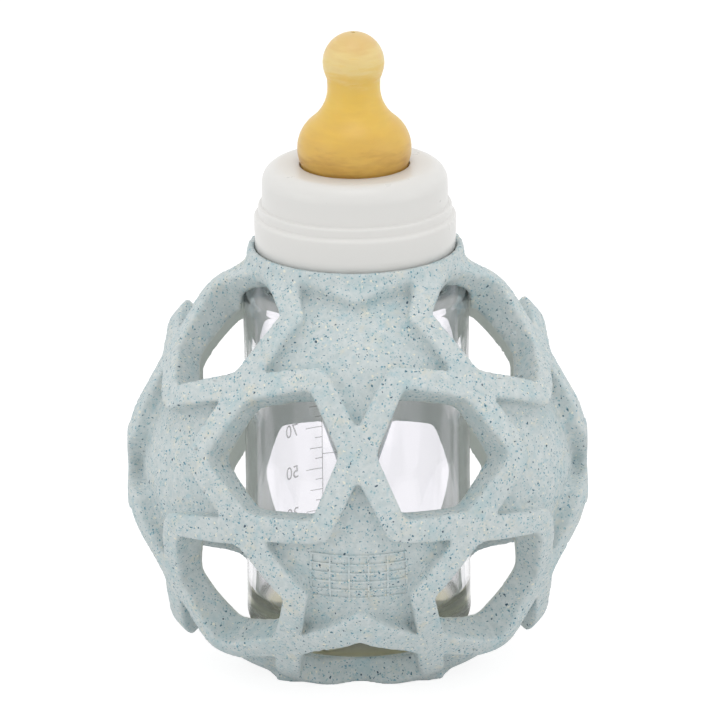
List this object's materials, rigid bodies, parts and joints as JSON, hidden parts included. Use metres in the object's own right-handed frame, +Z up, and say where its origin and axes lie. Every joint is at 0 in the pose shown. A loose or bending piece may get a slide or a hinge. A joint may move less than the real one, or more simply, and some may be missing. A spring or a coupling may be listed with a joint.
{
  "type": "baby bottle",
  "caption": "Glass baby bottle with a screw collar and a rubber teat, held in an open rubber grip ball of stars that small hands can hold.",
  "frame": {"origin": "middle of the flat base that the ball stands on", "axes": "+Z up along the bottle's axis, -Y towards the viewer of the picture"},
  "size_m": [0.108, 0.1128, 0.1535],
  "materials": {
    "sleeve_rubber": "matt moulded natural rubber, pale blue-green with dark blue flecks",
    "clear_glass": "clear blown glass",
    "collar_plastic": "white moulded polypropylene, soft gloss",
    "teat_rubber": "amber translucent natural rubber, satin"
  },
  "bodies": {
    "sleeve": {"star_ball_sleeve": "sleeve_rubber"},
    "bottle": {"glass_bottle": "clear_glass"},
    "teat": {"teat": "teat_rubber"},
    "collar": {"screw_collar": "collar_plastic"}
  },
  "joints": [
    {"name": "bottle_turn", "type": "hinge", "parent": "sleeve", "child": "bottle", "pos_m": [0, 0, 0.0466], "axis": [0, 0, 1], "continuous": true},
    {"name": "teat_lift", "type": "slide", "parent": "bottle", "child": "teat", "axis": [0, 0, 1], "range_m": [0, 0.006]},
    {"name": "collar_turn", "type": "hinge", "parent": "teat", "child": "collar", "pos_m": [0, 0, 0.111], "axis": [0, 0, 1], "range_deg": [0, 541]}
  ],
  "couplings": [
    {"joint": "collar_turn", "follows": "teat_lift", "rad_per_m": 1570.8}
  ]
}
